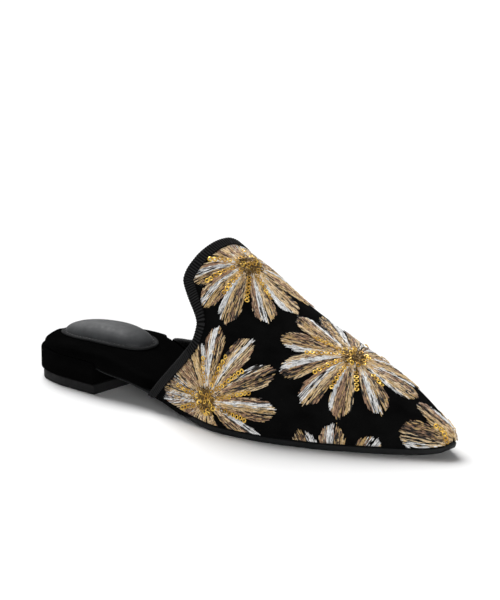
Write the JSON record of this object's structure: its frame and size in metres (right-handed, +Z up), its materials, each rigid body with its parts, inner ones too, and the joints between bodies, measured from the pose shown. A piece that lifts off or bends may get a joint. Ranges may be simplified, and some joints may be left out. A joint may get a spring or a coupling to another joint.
{
  "type": "backless mule shoe",
  "caption": "Backless flat mule with a closed pointed toe, velvet vamp with floral embroidery, ribbed edge binding, padded heel seat and low block heel.",
  "frame": {"origin": "on the floor, under the middle of the shoe's box", "axes": "+X from the heel to the toe, +Y to the big-toe side, +Z up"},
  "size_m": [0.2674, 0.0738, 0.091],
  "materials": {
    "velvet": "short black velvet pile",
    "ribbon": "ribbed grosgrain",
    "sole_rubber": "matte",
    "pad_leather": "satin smooth leather",
    "thread": "glossy satin stitch",
    "sequin": "polished gold foil"
  },
  "bodies": {
    "root": {"outsole": "sole_rubber", "heel_tip": "sole_rubber", "heel_block": "velvet", "insole": "velvet", "heel_pad": "pad_leather", "upper": "velvet", "binding": "ribbon"}
  },
  "joints": []
}
